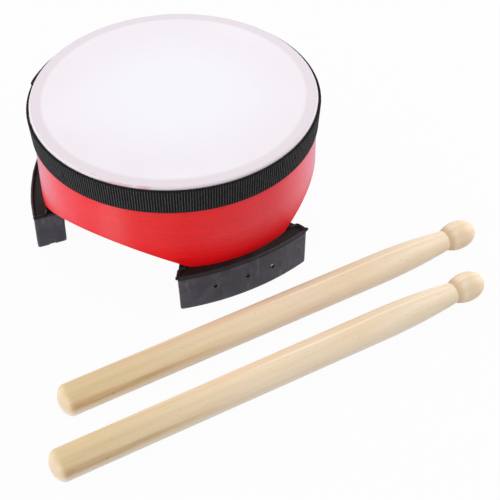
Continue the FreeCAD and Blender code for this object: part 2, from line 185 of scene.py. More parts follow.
class Shader:
    """A node material, written as sums of sockets and numbers."""

    def __init__(self, name, **settings):
        self.material = bpy.data.materials.new(name)
        self.material.use_nodes = True
        self.tree = self.material.node_tree
        self.surface = self.tree.nodes["Principled BSDF"]
        for key, value in settings.items():
            self.surface.inputs[key.replace("_", " ")].default_value = value
        coordinates = self.tree.nodes.new("ShaderNodeTexCoord")
        self.place = coordinates.outputs["Object"]
        self.normal = coordinates.outputs["Normal"]
        self.uv = coordinates.outputs["UV"]

    def feed(self, socket, value):
        if isinstance(value, bpy.types.NodeSocket):
            self.tree.links.new(value, socket)
        elif value is not None:
            socket.default_value = value

    def math(self, kind, *values):
        node = self.tree.nodes.new("ShaderNodeMath")
        node.operation = kind
        for socket, value in zip(node.inputs, values):
            self.feed(socket, value)
        return node.outputs[0]

    def times(self, first, *others):
        for other in others:
            first = self.math("MULTIPLY", first, other)
        return first

    def plus(self, a, b):
        return self.math("ADD", a, b)

    def minus(self, a, b):
        return self.math("SUBTRACT", a, b)

    def apart(self, a, b):
        """How far a is from b, never below zero."""
        return self.math("ABSOLUTE", self.minus(a, b))

    def vector(self, kind, a, b=None):
        node = self.tree.nodes.new("ShaderNodeVectorMath")
        node.operation = kind
        self.feed(node.inputs[0], a)
        self.feed(node.inputs[1], b)
        return node.outputs["Value" if kind in ("LENGTH", "DISTANCE") else "Vector"]

    def stretched(self, vector, x, y, z):
        return self.vector("MULTIPLY", vector, (x, y, z))

    def split(self, vector):
        node = self.tree.nodes.new("ShaderNodeSeparateXYZ")
        self.feed(node.inputs[0], vector)
        return node.outputs

    def join(self, x, y, z):
        node = self.tree.nodes.new("ShaderNodeCombineXYZ")
        for socket, value in zip(node.inputs, (x, y, z)):
            self.feed(socket, value)
        return node.outputs[0]

    def clouds(self, vector, scale, detail=3.0, rough=0.55, warp=0.0):
        node = self.tree.nodes.new("ShaderNodeTexNoise")
        self.feed(node.inputs["Vector"], vector)
        given = {"Scale": scale, "Detail": detail, "Roughness": rough, "Distortion": warp}
        for key, value in given.items():
            self.feed(node.inputs[key], value)
        return node.outputs["Fac"]

    def spots(self, vector, scale):
        node = self.tree.nodes.new("ShaderNodeTexVoronoi")
        self.feed(node.inputs["Vector"], vector)
        self.feed(node.inputs["Scale"], scale)
        return node.outputs["Distance"]

    def span(self, value, low, high, start=0.0, end=1.0):
        """Goes smoothly from start to end as the value goes from low to high."""
        node = self.tree.nodes.new("ShaderNodeMapRange")
        node.interpolation_type = "SMOOTHSTEP"
        for socket, given in zip(node.inputs, (value, low, high, start, end)):
            self.feed(socket, given)
        return node.outputs[0]

    def fall(self, value, low, high):
        """Goes smoothly from 1 to 0."""
        return self.span(value, low, high, 1.0, 0.0)

    def between(self, value, rise, top, drop, low):
        """Goes from 0 up to 1, stays there and comes down again."""
        return self.times(self.span(value, rise, top), self.fall(value, drop, low))

    def mix(self, share, a, b):
        node = self.tree.nodes.new("ShaderNodeMix")
        node.data_type = "RGBA"
        self.feed(node.inputs["Factor"], share)
        self.feed(node.inputs["A"], a)
        self.feed(node.inputs["B"], b)
        return node.outputs["Result"]

    def paint(self, under, mask, strength, colour):
        """Lays an on-screen colour over what is under it, where the mask says so."""
        return self.mix(self.times(mask, strength), under, srgb(*colour))

    def bump(self, height, depth, strength):
        node = self.tree.nodes.new("ShaderNodeBump")
        node.inputs["Strength"].default_value = strength
        node.inputs["Distance"].default_value = depth * MM
        self.feed(node.inputs["Height"], height)
        return node.outputs[0]

    def finish(self, colour, rough, normal, **others):
        given = {"Base Color": colour, "Roughness": rough, "Normal": normal}
        for key, value in others.items():
            given[key.replace("_", " ")] = value
        for key, value in given.items():
            self.feed(self.surface.inputs[key], value)
        return self.material


def lacquer():
    """Red stain and lacquer over bent plywood.

    The grain runs round the drum and draws the highlights out across it. The plies show
    at the cut edges. The gloss fades towards the dark ledges of the feet."""
    grain_shrink, pore_shrink, ply_pair = 0.045, 0.35, 0.0014
    ledge_low, ledge_high = 0.030, 0.056
    s = Shader("red_lacquered_ply", Anisotropic=0.97, Anisotropic_Rotation=0.25,
               Sheen_Roughness=0.38, Sheen_Tint=srgb(246, 228, 255))
    x, y, z = s.split(s.place)
    radius = s.vector("LENGTH", s.join(x, y, 0.0))
    along_grain = s.stretched(s.place, grain_shrink, grain_shrink, 1.0)
    grain = s.clouds(along_grain, 900, 4.0, 0.65, 0.3)
    streaks = s.clouds(along_grain, 210, 3.0, 0.6, 0.6)
    mottle = s.clouds(s.place, 26, 3.0, 0.6)
    pores = s.clouds(s.stretched(s.place, pore_shrink, pore_shrink, 1.0), 1500, 2.0, 0.6)
    colour = s.mix(s.span(streaks, 0.35, 0.7), srgb(230, 3, 9), srgb(236, 5, 12))
    colour = s.paint(colour, s.span(grain, 0.48, 0.7), 0.75, (246, 32, 41))
    colour = s.paint(colour, s.span(mottle, 0.5, 0.75), 0.25, (238, 12, 20))
    colour = s.paint(colour, s.span(pores, 0.54, 0.68), 0.6, (196, 2, 8))
    ply = s.math("SINE", s.times(radius, 2 * math.pi / ply_pair))
    ply = s.span(s.plus(ply, s.times(grain, 0.6)), -0.4, 0.9)
    cut = s.mix(ply, srgb(150, 12, 14), srgb(198, 30, 26))
    inside = s.between(radius, 0.0917, 0.0919, 0.0977, 0.0979)
    round_the_drum = s.tree.nodes.new("ShaderNodeTangent")
    round_the_drum.direction_type, round_the_drum.axis = "RADIAL", "Z"
    height = s.plus(grain, s.times(ply, s.times(inside, 2.0)))
    return s.finish(s.mix(inside, colour, cut),
                    s.span(s.plus(grain, mottle), 0.75, 1.25, 0.32, 0.52),
                    s.bump(height, 0.05, 0.6),
                    Tangent=round_the_drum.outputs[0],
                    Sheen_Weight=s.span(z, ledge_low, ledge_high, 0.05, 1.0),
                    Specular_IOR_Level=s.span(z, ledge_low, ledge_high, 0.1, 0.45))


def skin():
    """Coated white film.

    It is a little darker and pinker where it lies on the wooden rim. Where it bends down over the
    edge it is painted darker as shade, less so in front, and at the near side it has small pink
    dashes."""
    s = Shader("white_coated_film", Specular_IOR_Level=0.4)
    x, y, _ = s.split(s.place)
    radius = s.vector("LENGTH", s.join(x, y, 0.0))
    turn = s.math("ARCTAN2", y, x)
    round_the_rim = s.join(turn, radius, 0.0)
    cloudy = s.clouds(s.place, 14, 2.0)
    fine = s.clouds(s.place, 2600, 2.0)
    colour = s.mix(s.span(radius, 0.03, 0.085), srgb(240, 238, 243), srgb(237, 230, 235))
    colour = s.paint(colour, s.span(cloudy, 0.4, 0.7), 0.5, (242, 237, 244))
    rim = s.span(s.plus(radius, s.times(cloudy, 0.0012)), 0.0900, 0.0930)
    colour = s.mix(rim, colour, srgb(227, 217, 223))
    # Painted shade on the bend, lighter in front.
    in_front = s.between(turn, -2.7, -2.2, -1.0, -0.5)
    bend = s.mix(in_front, srgb(222, 212, 218), srgb(230, 219, 224))
    colour = s.mix(s.span(radius, 0.0963, 0.0980), colour, bend)
    # Small pink dashes on the bend, only at the near side.
    near = s.between(turn, -2.30, -2.15, -1.75, -1.62)
    dashes = s.clouds(s.stretched(round_the_rim, 9.0, 600.0, 0.0), 1.0, 2.0)
    pink_dash_mask = s.times(near, s.span(radius, 0.0972, 0.0982), s.span(dashes, 0.5, 0.62))
    colour = s.paint(colour, pink_dash_mask, 0.5, (226, 142, 160))
    colour = s.paint(colour, s.fall(s.spots(s.place, 95), 0.02, 0.05), 0.35, (226, 214, 200))
    creases = s.clouds(s.stretched(round_the_rim, 60.0, 60.0, 0.0), 1.0, 3.0)
    height = s.plus(s.times(fine, 0.25), s.times(creases, s.times(rim, 1.2)))
    return s.finish(colour, s.span(fine, 0.2, 0.8, 0.42, 0.56), s.bump(height, 0.04, 0.6))


def webbing():
    """Black ribbed webbing. Each rib is painted lit over a twisted-yarn pattern, and the hollows
    between the ribs and the band's top and bottom edges are painted shade.

    The texture's U counts ribs and its V is millimetres up the band."""
    s = Shader("black_ribbed_webbing", Specular_IOR_Level=0.1, Sheen_Weight=0.04,
               Sheen_Roughness=0.45)
    across, up, _ = s.split(s.uv)
    rib = s.minus(0.5, s.times(s.math("COSINE", s.times(across, 2 * math.pi)), 0.5))
    twist = s.plus(across, s.times(up, 1.9))
    yarn = s.math("ABSOLUTE", s.math("SINE", s.times(twist, math.pi)))
    cell = s.join(s.math("FLOOR", across), up, 0.0)
    uneven = s.clouds(s.stretched(cell, 7.3, 0.35, 0.0), 1.0, 2.0)
    fibre = s.clouds(s.stretched(s.uv, 6.0, 2.2, 0.0), 1.0, 4.0, 0.7)
    # The ribs are painted lit and the hollows between them painted shade.
    lit = s.times(s.span(rib, 0.68, 1.0), s.span(uneven, 0.25, 0.75, 0.45, 1.0))
    lit = s.times(lit, s.span(s.times(yarn, fibre), 0.1, 0.5, 0.7, 1.0))
    # Painted shade darkens the ribs along the band's top and bottom edges.
    clear_of_edge_shade = s.math("MINIMUM", s.span(up, 0.4, 1.3), s.fall(up, 18.5, 19.4))
    lit = s.times(lit, s.span(clear_of_edge_shade, 0.0, 1.0, 0.35, 1.0))
    colour = s.mix(lit, srgb(7, 6, 8), srgb(94, 96, 99))
    height = s.plus(s.times(yarn, 0.6), fibre)
    return s.finish(colour, s.span(fibre, 0.2, 0.8, 0.55, 0.78), s.bump(height, 0.12, 0.7))


def rubber():
    """Moulded dark rubber, in the foot's own frame with X pointing out of the drum.

    It is grey and scuffed on the upright faces. The ledge is painted nearly black as shade, the
    bead is painted darker, a thin line of painted shade runs below the bead, and painted shade lies
    on the bead's inner side. One screw hole's mouth has a painted glint."""
    # Where the painted glint sits, on one screw hole's mouth.
    glint_spot = (0.1041, 0.0193, 0.0157)
    s = Shader("moulded_dark_rubber")
    outward, _, facing = s.split(s.normal)
    _, y, z = s.split(s.place)
    upward = s.times(s.span(facing, 0.45, 0.85), s.fall(z, 0.02935, 0.0297))
    cloud = s.clouds(s.place, 55, 4.0, 0.6)
    smear = s.clouds(s.stretched(s.place, 1.0, 1.0, 0.35), 150, 4.0, 0.65, 0.8)
    scratch = s.clouds(s.stretched(s.place, 1.0, 1.0, 9.0), 120, 3.0, 0.7, 0.5)
    fine = s.clouds(s.place, 1500, 3.0, 0.6)
    side = s.mix(s.span(cloud, 0.35, 0.68), srgb(47, 45, 54), srgb(78, 75, 86))
    side = s.paint(side, s.span(smear, 0.53, 0.74), 0.75, (108, 105, 114))
    # A painted glint at one screw hole's mouth.
    glint_distance = s.vector("DISTANCE", s.place, glint_spot)
    side = s.mix(s.fall(glint_distance, 0.0006, 0.0012), side, srgb(214, 213, 218))
    # Painted shade in a thin line under the bead's overhang.
    under_bead_shade = s.between(z, 0.0279, 0.0283, 0.0287, 0.0290)
    side = s.paint(side, under_bead_shade, 0.8, (26, 24, 28))
    side = s.paint(side, s.span(scratch, 0.66, 0.72), 0.35, (126, 123, 128))
    # The bead is painted darker, more towards the foot's -y side, and fully near both ends.
    on_bead = s.span(z, 0.02885, 0.0291)
    darker_on_minus_y = s.span(s.minus(y, s.times(cloud, 0.02)), -0.012, 0.004, 0.9, 0.6)
    both_ends = s.span(s.math("ABSOLUTE", y), 0.044, 0.047)
    beading = s.math("MAXIMUM", s.times(on_bead, darker_on_minus_y), s.times(on_bead, both_ends))
    side = s.mix(beading, side, srgb(34, 31, 34))
    # Painted shade on the bead's inner side, facing the shell.
    behind_bead = s.times(s.fall(outward, -0.6, -0.1), s.span(z, 0.0290, 0.0294))
    side = s.mix(behind_bead, side, srgb(12, 12, 13))
    # Upward faces below the bead get a nearly black colour that is painted shade.
    ledge = s.mix(s.span(cloud, 0.4, 0.7), srgb(27, 27, 27), srgb(43, 43, 42))
    colour = s.mix(upward, side, ledge)
    specks = s.fall(s.spots(s.place, 420), 0.03, 0.09)
    colour = s.paint(colour, specks, 0.35, (120, 116, 118))
    dull = s.math("MAXIMUM", upward, beading)
    return s.finish(colour,
                    s.span(s.plus(cloud, fine), 0.7, 1.3, 0.42, 0.62),
                    s.bump(s.plus(fine, s.times(smear, 0.8)), 0.09, 0.6),
                    Specular_IOR_Level=s.span(dull, 0.0, 1.0, 0.4, 0.18))


def maple():
    """Pale sanded maple, in the beater's own frame with X from its butt to its tip.

    The grain runs along the stick, with a light line near its top, a dark streak and a small knot
    near the butt, and a warmer heart in the bead. The underside is painted paler with light
    reflected from the floor, the taper's shoulder has a painted highlight and the neck has painted
    shade."""
    light_line, dark_streak = 1.72, 2.98
    knot_place = (0.033, -0.0106, 0.0014)
    s = Shader("sanded_maple", Specular_IOR_Level=0.45, Coat_Weight=0.25, Coat_Roughness=0.45)
    x, y, z = s.split(s.place)
    along_grain = s.stretched(s.place, 0.045, 1.0, 1.0)
    grain = s.clouds(along_grain, 620, 4.0, 0.6, 0.4)
    bands = s.span(s.clouds(along_grain, 150, 3.0, 0.55, 0.5), 0.3, 0.72)
    tone = s.clouds(s.stretched(s.place, 0.25, 1.0, 1.0), 60, 2.0)
    butt = s.mix(bands, srgb(212, 186, 140), srgb(226, 202, 160))
    tip = s.mix(bands, srgb(235, 212, 179), srgb(247, 227, 201))
    colour = s.mix(s.span(x, 0.02, 0.16), butt, tip)
    colour = s.paint(colour, s.span(grain, 0.55, 0.75), 0.3, (206, 174, 128))
    colour = s.paint(colour, s.span(tone, 0.5, 0.72), 0.3, (236, 202, 160))
    wander = s.clouds(s.stretched(s.place, 12.0, 0.0, 0.0), 1.0, 1.0)
    turn = s.plus(s.math("ARCTAN2", z, y), s.times(wander, 0.25))
    line = s.times(s.fall(s.apart(turn, light_line), 0.02, 0.09), s.span(x, 0.12, 0.18))
    colour = s.paint(colour, line, 0.6, (254, 240, 214))
    streak_width = s.span(x, 0.0, 0.09, 0.5, 0.16)
    dark = s.times(s.fall(s.apart(turn, dark_streak), 0.02, streak_width),
                   s.between(x, 0.002, 0.008, 0.06, 0.125),
                   s.span(grain, 0.35, 0.6, 0.45, 0.8))
    colour = s.mix(dark, colour, srgb(188, 151, 106))
    knot = s.fall(s.vector("DISTANCE", s.place, knot_place), 0.0003, 0.0009)
    colour = s.paint(colour, knot, 0.6, (140, 98, 62))
    flecks = s.clouds(s.stretched(s.place, 0.3, 1.0, 1.0), 1300, 2.0, 0.5)
    colour = s.paint(colour, s.span(flecks, 0.66, 0.72), 0.35, (176, 142, 100))
    # Painted highlight along the taper's shoulder just before the neck.
    shoulder = s.between(x, 0.2915, 0.2950, 0.2954, 0.2957)
    colour = s.paint(colour, shoulder, 0.5, (248, 232, 196))
    heart = s.span(s.minus(x, s.times(y, 0.5)), 0.303, 0.3095)
    colour = s.paint(colour, heart, 0.4, (224, 192, 152))
    # Painted shade in the neck where the taper meets the bead.
    neck = s.between(x, 0.2954, 0.2957, 0.2962, 0.3015)
    colour = s.paint(colour, neck, 0.6, (196, 158, 112))
    # Painted light reflected from the floor makes the underside paler.
    under = s.times(s.fall(z, -0.005, 0.0025), s.fall(x, 0.28, 0.29))
    colour = s.paint(colour, under, 0.85, (255, 242, 226))
    colour = s.paint(colour, s.fall(x, 0.001, 0.006), 0.6, (220, 200, 180))
    return s.finish(colour, s.span(grain, 0.3, 0.7, 0.46, 0.6), s.bump(grain, 0.05, 0.5))


def steel(name, shade):
    """Plain wire or screw steel, dulled and lightly scratched."""
    s = Shader(name, Metallic=1.0)
    cloud = s.clouds(s.place, 400, 3.0)
    scratch = s.clouds(s.place, 3000, 3.0, 0.7, 1.0)
    dark = shade - 26
    colour = s.mix(cloud, srgb(dark, dark, dark), srgb(shade, shade, shade + 4))
    return s.finish(colour, s.span(scratch, 0.3, 0.7, 0.28, 0.5), s.bump(scratch, 0.02, 0.5))


# Shell: bent plywood, cut out below into three legs

ARCH_TOP, ARCH_RADIUS, ARCH_HALF = 47.0, 111.35, 60.24
ARCH_STEPS, LEG_STEPS = 50, 26
WALL_ROWS, LEG_ROWS = 22, 7
RIM_BEVEL, RIM_ROUND, INNER_BEVEL = 1.6, 0.6, 0.5


def shell_columns():
    """The wall all round: the outer angle, the inner angle and the lower edge's height."""
    turn_out = math.degrees(math.asin(ARCH_HALF / SHELL_OUT))
    turn_in = math.degrees(math.asin(ARCH_HALF / SHELL_IN))
    columns = []
    for centre in ARCHES:
        for i in range(ARCH_STEPS):
            a = -turn_out + 2 * turn_out * i / ARCH_STEPS
            y = SHELL_OUT * math.sin(math.radians(a))
            b = math.degrees(math.asin(y / SHELL_IN))
            columns.append((centre + a, centre + b, bulge(ARCH_TOP, ARCH_RADIUS, y)))
        for i in range(LEG_STEPS):
            t = i / LEG_STEPS
            a = turn_out + t * (120 - 2 * turn_out)
            b = turn_in + t * (120 - 2 * turn_in)
            columns.append((centre + a, centre + b, bulge(ARCH_TOP, ARCH_RADIUS, ARCH_HALF)))
    return columns


def wall(angle, radius, start, end, rows):
    """A row of points straight up or down the wall."""
    c, s = unit(angle)
    heights = [start + (end - start) * j / (rows - 1) for j in range(rows)]
    return [(radius * c, radius * s, z) for z in heights]


def shell_mesh():
    columns = shell_columns()
    leg_top = bulge(ARCH_TOP, ARCH_RADIUS, ARCH_HALF)
    points = []
    for a, b, base in columns:
        points += wall(a, SHELL_OUT, base, SHELL_TOP - RIM_BEVEL, WALL_ROWS)
        c, s = unit(a)
        for inset, drop in ((RIM_ROUND, RIM_ROUND), (RIM_BEVEL, 0.0)):
            points.append(((SHELL_OUT - inset) * c, (SHELL_OUT - inset) * s, SHELL_TOP - drop))
        c, s = unit(b)
        points.append(((SHELL_IN + INNER_BEVEL) * c, (SHELL_IN + INNER_BEVEL) * s, SHELL_TOP))
        points += reversed(wall(b, SHELL_IN, base, SHELL_TOP - INNER_BEVEL, WALL_ROWS))
    deep = 2 * WALL_ROWS + 3
    third = ARCH_STEPS + LEG_STEPS
    faces = grid(len(columns), deep, closed=True)
    for k in range(3):
        for i in range(ARCH_STEPS):
            a = (k * third + i) * deep
            b = (k * third + i + 1) % len(columns) * deep
            faces.append((a, b, b + deep - 1, a + deep - 1))
    for k in range(3):
        first = len(points)
        for i in range(LEG_STEPS + 1):
            a, b, _ = columns[(k * third + ARCH_STEPS + i) % len(columns)]
            points += wall(a, SHELL_OUT, leg_top, LEG_END, LEG_ROWS)
            points += wall(b, SHELL_IN, LEG_END, leg_top, LEG_ROWS)
        rows = 2 * LEG_ROWS
        faces += grid(LEG_STEPS + 1, rows, first=first)
        for end in (first, first + LEG_STEPS * rows):
            for j in range(LEG_ROWS - 1):
                faces.append((end + j, end + j + 1, end + rows - 2 - j, end + rows - 1 - j))
    return points, faces


# Drumhead: stiff film stretched over the rim and turned down outside it

FLAT_RADII = (0, 6, 14, 24, 34, 44, 54, 64, 72, 78, 83, 86, 88, 89.5, 90.8, 92, 93.5, 95.5)
SKIRT = ((97, 99.15), (94, 99.05), (91, 99), (88.2, 99),
         (88.2, 98.4), (91, 98.4), (95, 98.42), (97, 98.5))
BACK_RADII = (94, 90, 80, 60, 40, 20, 0)
FILM, BEND, BEND_MIDDLE = 0.6, 1.7, 97.5


def skin_profile():
    middle = (BEND_MIDDLE, SKIN_TOP - BEND)
    line = [(SKIN_TOP, r) for r in FLAT_RADII]
    line += [(z, r) for r, z in arc(middle, BEND, 90, 0, 8)]
    line += SKIRT
    line += [(z, r) for r, z in arc(middle, BEND - FILM, 0, 90, 6)]
    return line + [(SKIN_TOP - FILM, r) for r in BACK_RADII]


# Webbing: one length glued round the rim, with its ends meeting at the left

RIBS = 349
STEPS = 6
SEAM_GAP = 0.46
BAND_RADIUS, BAND_LEAN, BAND_FLARE = 99.8, 1.523, 0.5
DROP = ((-30, 0.0), (0, 0.35), (20, 0.55), (36, 0.6), (60, 0.8), (75, 0.8), (88, 1.2),
        (105, 1.4), (146, 1.4), (158, 0.7), (SEAM, -0.4))
END_DROP = ((320, 0.0), (337, 1.2), (360, 1.2))
BACKING = ((0, 98.42), (6.2, 98.45), (8.9, 99.18), (16, 99.3), (19.5, 99.45))


def band_section(rib, sway):
    """The band's outline: height up the band and radius, at that share of a rib."""
    width = BAND_HIGH - BAND_LOW
    face = 0.4 * (1 - rib)
    top = width - 0.3 * (1 - rib) + 0.12 * sway
    outside = [(0.1 + 0.38 * (1 - rib), 0.3)]
    outside += [(v, face) for v in (0.7, 1.3, 3, 6, 9, 12, 15, 17.6, 18.8, top - 0.4)]
    outside += [(top - 0.1, 0.3), (top, 0.75)]
    section = [(v, BAND_RADIUS + BAND_LEAN * v / width - sunk) for v, sunk in outside]
    return section + list(reversed(BACKING))


def webbing_mesh():
    """The band's points and faces, and a texture place for each point."""
    columns = RIBS * STEPS + 1
    width = BAND_HIGH - BAND_LOW
    points, spots = [], []
    for k in range(columns):
        back = 360.0 * k / (columns - 1)
        azimuth = SEAM - SEAM_GAP / 2 - back * ((360 - SEAM_GAP) / 360)
        turn = (azimuth + 180) % 360 - 180
        c, s = unit(azimuth)
        drop = along(turn, DROP) if -30 < turn < SEAM else 0.0
        drop += along(back, END_DROP)
        flare = BAND_FLARE * math.exp(-((back / 9.0) ** 2))
        rib = math.sin(math.pi * (k % STEPS) / STEPS) ** 0.6
        for v, r in band_section(rib, noise.noise(Vector((c * 3, s * 3, 4.0)))):
            share = v / width
            radius = r + flare * share
            points.append((radius * c, radius * s, BAND_LOW + v - drop * (0.35 + 0.65 * share)))
            spots.append((k / STEPS, v))
    rows = len(points) // columns
    return points, grid(columns, rows, rings=True) + ends(columns, rows), spots


# Feet: a curved rubber block with a slot for the leg, screw holes, a tread groove and a
# bead along its outer top edge

FOOT_ARC = -72.1
FOOT_OUT, FOOT_IN, FOOT_TOP, FOOT_HALF = 177.0, 156.0, 29.3, 27.3
FOOT_LEVELS = ((0, 1.5), (0.15, 1.0), (0.45, 0.55), (0.9, 0.2), (1.6, 0.0), (2.8, 0), (6, 0),
               (10, 0), (14, 0), (18, 0), (22, 0), (25, 0), (27.4, 0), (27.9, 0.05),
               (28.1, 0.4), (28.9, 0.45), (29.2, 0.4), (FOOT_TOP, 0.6))
LEAN = 2
WIDE_TRIM, TIGHT_TRIM, TIGHT_REACH = 0.3, 0.8, 0.6
OUTER_ROUND, INNER_ROUND = 1.7, 1.3
BEAD_ARC, BEAD_THICK, BEAD_HIGH, BEAD_SIDES = 176.3, 1.06, 29.72, 14
BEAD_INNER, BEAD_TAIL, BEAD_TUCK = 101.4, 98.9, 3.2
CORNER_TURN, BEAD_TURN = 16.35, 15.9
KNOB, KNOB_HIGH, KNOB_FLAT = 1.35, 29.5, 0.95
SLOT_IN, SLOT_OUT, SLOT_HALF = 91.1, 98.5, 23.96
GROOVE_IN, GROOVE_OUT, GROOVE_HALF, GROOVE_DEEP = 164.3, 168.7, 22, 1.6
SCREWS = ((-24, 16.0, 101.17), (0, 15.5, 102.8), (20, 14.3, 101.67))
SEAT_RADIUS, BORE_RADIUS = 1.7, 1.05
SCREW_RIM = ((1.45, -1.0), (1.42, -0.1), (1.52, 0.17), (1.8, 0.3), (2.15, 0.22),
             (2.55, 0.02), (2.75, -0.2))


def wobble(x, y, z):
    return noise.noise(Vector((x, y, z)))


def rounded(before, corner, after, reach, count):
    """A corner drawn as a short curve that starts and ends at that reach from it."""
    a = corner + (before - corner).normalized() * reach
    b = corner + (after - corner).normalized() * reach
    curve = []
    for i in range(count + 1):
        t = i / count
        curve.append(a * (1 - t) ** 2 + corner * (2 * t * (1 - t)) + b * t * t)
    return curve


def foot_outline(z, inset, seed):
    """The block's outline in plan at one height, anticlockwise."""
    off = (FOOT_TOP - z) * math.tan(math.radians(LEAN)) + inset
    sine = math.sin(math.radians(FOOT_HALF))
    outer, inner = FOOT_OUT - inset, FOOT_IN + inset
    wide = FOOT_HALF + math.degrees(math.asin((FOOT_ARC * sine - off) / outer))
    tight = FOOT_HALF + math.degrees(math.asin((FOOT_ARC * sine - off) / inner))
    front = [Vector(p) for p in arc((FOOT_ARC, 0), outer, WIDE_TRIM - wide, wide, 64)]
    rear = [Vector(p) for p in
            arc((FOOT_ARC, 0), inner, tight + TIGHT_REACH, TIGHT_TRIM - tight, 44)]
    along_start = front[1] * 4 - front[0] * 3
    along_end = front[-2] * 4 - front[-1] * 3
    line = rounded(rear[-2], rear[-1], front[0], INNER_ROUND, 4)
    line += [rear[-1].lerp(front[0], t) for t in (0.25, 0.5, 0.75)]
    line += rounded(rear[-1], front[0], along_start, OUTER_ROUND, 5)
    line += front[2:-2]
    line += rounded(along_end, front[-1], rear[0], OUTER_ROUND, 5)
    line += [front[-1].lerp(rear[0], t) for t in (0.25, 0.5, 0.75)]
    line += rounded(front[-1], rear[0], rear[1], INNER_ROUND, 4)
    line += rear[1:-1]
    middle = Vector((FOOT_ARC + (FOOT_OUT + FOOT_IN - 1) / 2, 0))
    points = []
    for p in line:
        out = (p - middle).normalized()
        wave = 0.16 * wobble(p.x / 13, p.y / 13, z / 16 + seed)
        points.append((p.x + out.x * wave, p.y + out.y * wave, z))
    return points


def cutter(name, points, faces):
    obj = make(name, points, faces, sharp=None)
    obj.hide_render = True
    return obj


def sector(name, centre, inner, outer, half, low, high):
    """A solid ring sector about an upright axis."""
    count = 60
    points = []
    for p, q in zip(arc(centre, inner, -half, half, count), arc(centre, outer, -half, half, count)):
        points += [(*p, low), (*q, low), (*q, high), (*p, high)]
    return cutter(name, points, grid(count + 1, 4, rings=True) + ends(count + 1, 4))


def rods(name, radius, spans):
    """Round bars lying outwards, one for each screw."""
    sides = 24
    points, faces = [], []
    for (y, z, _), (start, end) in zip(SCREWS, spans):
        faces += tube(2, sides, first=len(points))
        for x in (start, end):
            ring = arc((0, 0), radius, 0, 360 - 360 / sides, sides - 1)
            points += [(x, y + u, z + v) for u, v in ring]
    return cutter(name, points, faces)


def foot_block(name, seed):
    """The block with its slot, groove and screw holes cut."""
    points = []
    for z, inset in FOOT_LEVELS:
        points += foot_outline(z, inset, seed)
    faces = tube(len(FOOT_LEVELS), len(points) // len(FOOT_LEVELS))
    block = make(name, points, faces, sharp=None)
    tools = (
        sector("slot", (0, 0), SLOT_IN, SLOT_OUT, SLOT_HALF, LEG_END, 40),
        sector("groove", (FOOT_ARC, 0), GROOVE_IN, GROOVE_OUT, GROOVE_HALF, -2, GROOVE_DEEP),
        rods("seats", SEAT_RADIUS, [(x, 112) for _, _, x in SCREWS]),
        rods("bores", BORE_RADIUS, [(96.5, x + 0.2) for _, _, x in SCREWS]),
    )
    for tool in tools:
        cut = block.modifiers.new(tool.name, "BOOLEAN")
        cut.operation, cut.solver, cut.object = "DIFFERENCE", "EXACT", tool
    bpy.context.view_layer.update()
    done = block.evaluated_get(bpy.context.evaluated_depsgraph_get())
    mesh = bpy.data.meshes.new_from_object(done)
    block.modifiers.clear()
    block.data = mesh
    for tool in tools:
        bpy.data.objects.remove(tool)
    return block


def outer_corner(side, trim):
    """Where the bead turns from the outer edge to the foot's end, in plan."""
    c, s = unit(side * (CORNER_TURN - trim))
    return FOOT_ARC + BEAD_ARC * c, BEAD_ARC * s


def bead_path():
    """The bead's middle line in plan: up one end, round the outer edge, back on the other."""
    turns = []
    for side, trim, slant in ((-1, WIDE_TRIM, -0.5), (1, 0.0, 0.9)):
        c, s = unit(side * (FOOT_HALF + slant))
        inner = Vector((BEAD_INNER * c, BEAD_INNER * s)) + Vector((s, -c)) * side * 0.7
        c, s = unit(side * (FOOT_HALF + slant - BEAD_TUCK))
        tail = Vector((BEAD_TAIL * c, BEAD_TAIL * s))
        turns.append((Vector(outer_corner(side, trim)), inner, tail))
    (corner, inner, tail), (far_corner, far_inner, far_tail) = turns
    sweep = arc((FOOT_ARC, 0), BEAD_ARC, WIDE_TRIM - BEAD_TURN, BEAD_TURN, 104)
    line = [Vector(p) for p in sweep]
    first = rounded(inner, corner, line[0] * 3 - line[1] * 2, 1.6, 6)
    last = rounded(line[-1] * 3 - line[-2] * 2, far_corner, far_inner, 1.6, 6)
    start = rounded(tail, inner, corner, 1.8, 6)
    stop = rounded(far_corner, far_inner, far_tail, 1.8, 6)
    start = [tail.lerp(start[0], t / 3) for t in range(3)] + start
    stop += [stop[-1].lerp(far_tail, t / 3) for t in range(1, 4)]
    first = [start[-1].lerp(first[0], t / 6) for t in range(1, 6)] + first
    last += [last[-1].lerp(stop[0], t / 6) for t in range(1, 6)]
    return start + first + line + last + stop


def add_bead(points, faces, seed):
    """Adds the hand-trimmed bead, a little uneven in thickness, place and height."""
    path = bead_path()
    faces += tube(len(path), BEAD_SIDES, first=len(points))
    neighbours = zip(path[:1] + path[:-1], path[1:] + path[-1:])
    for k, (p, (before, after)) in enumerate(zip(path, neighbours)):
        out = Vector((after.y - before.y, before.x - after.x)).normalized()
        thick = BEAD_THICK + 0.13 * wobble(k * 0.16, seed, 0.0) + 0.08 * wobble(k * 0.55, seed, 5.0)
        shift = 0.16 * wobble(k * 0.1, seed, 9.0)
        z = BEAD_HIGH + 0.16 * wobble(k * 0.09, seed, 13.0)
        for u, v in arc((0, 0), thick, 0, 360 - 360 / BEAD_SIDES, BEAD_SIDES - 1):
            points.append((p.x + out.x * (u + shift), p.y + out.y * (u + shift), z + v))


def add_knobs(points, faces):
    """Adds the small rounded knob at either end of the outer edge."""
    ball, ball_faces = lathe(arc((0, 0), KNOB, 180, 0, 12), 18)
    for side, trim in ((-1, WIDE_TRIM), (1, 0.0)):
        corner, first = outer_corner(side, trim), len(points)
        for x, y, z in ball:
            points.append((corner[0] + x, corner[1] + y, KNOB_HIGH + z * KNOB_FLAT))
        faces += [tuple(first + i for i in face) for face in ball_faces]


